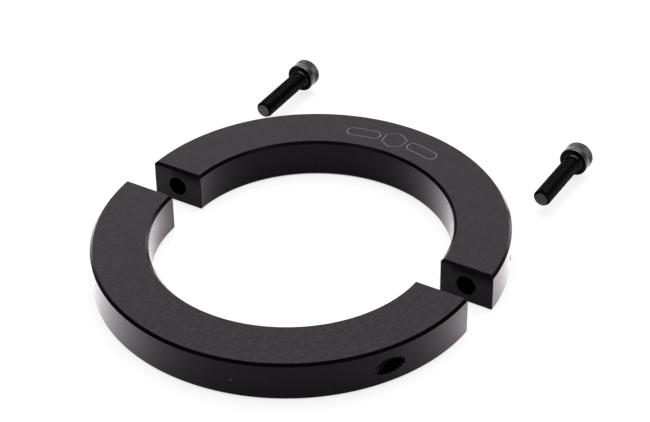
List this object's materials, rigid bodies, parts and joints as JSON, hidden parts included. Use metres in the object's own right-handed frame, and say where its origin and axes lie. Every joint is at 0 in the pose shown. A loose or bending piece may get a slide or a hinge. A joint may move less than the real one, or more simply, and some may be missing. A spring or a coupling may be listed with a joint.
{
  "type": "two-piece shaft collar",
  "caption": "Clamp-on shaft collar split into two half rings, one tapped and one counterbored, drawn together round a shaft by two socket head cap screws.",
  "frame": {"origin": "on the bore axis of the tapped half, at mid thickness", "axes": "+Z along the bore, +Y along the screws from the tapped half to the counterbored half, +X along the split line"},
  "size_m": [0.1289, 0.1611, 0.0138],
  "materials": {
    "anodised_aluminium": "black anodised, satin",
    "black_oxide_steel": "black oxide, lightly oiled"
  },
  "bodies": {
    "tapped_half": {"tapped_half": "anodised_aluminium"},
    "counterbored_half": {"counterbored_half": "anodised_aluminium"},
    "left_cap_screw": {"left_cap_screw": "black_oxide_steel"},
    "right_cap_screw": {"right_cap_screw": "black_oxide_steel"}
  },
  "joints": [
    {"name": "halves_close", "type": "slide", "parent": "tapped_half", "child": "counterbored_half", "axis": [-0.1687, -0.9857, 0], "range_m": [0, 0.01126]},
    {"name": "left_screw_in", "type": "slide", "parent": "counterbored_half", "child": "left_cap_screw", "axis": [0, -1, 0], "range_m": [0, 0.064]},
    {"name": "right_screw_in", "type": "slide", "parent": "counterbored_half", "child": "right_cap_screw", "axis": [0, -1, 0], "range_m": [0, 0.064]}
  ]
}
